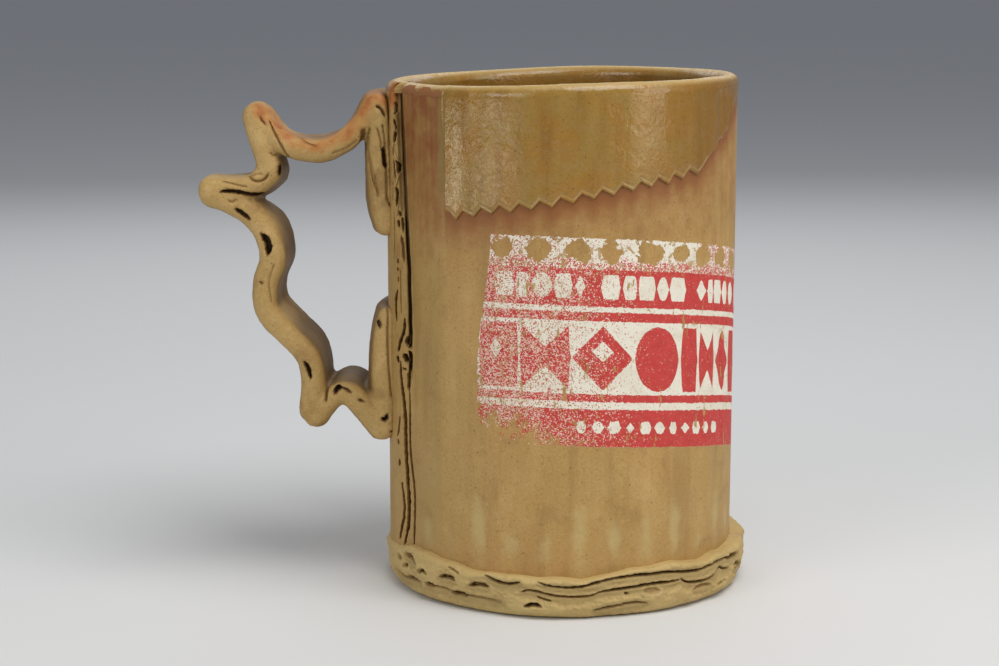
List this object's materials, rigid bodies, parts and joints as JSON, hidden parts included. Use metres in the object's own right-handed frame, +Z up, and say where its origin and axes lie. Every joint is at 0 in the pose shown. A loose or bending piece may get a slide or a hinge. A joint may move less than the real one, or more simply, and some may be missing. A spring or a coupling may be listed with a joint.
{
  "type": "cracked mug",
  "caption": "Hand-built stoneware mug shaped like a tube of torn corrugated board, with a split overlapped seam, a layered foot band and a folded strap handle.",
  "frame": {"origin": "middle of the flat underside, on the axis of the round wall", "axes": "+Z up along the wall's axis, handle along -X, overlapped seam and strip of tape on the -Y side"},
  "size_m": [0.1391, 0.0922, 0.129],
  "materials": {
    "stoneware": "satin",
    "liner_glaze": "gloss"
  },
  "bodies": {
    "root": {"mug": "stoneware"}
  },
  "joints": []
}
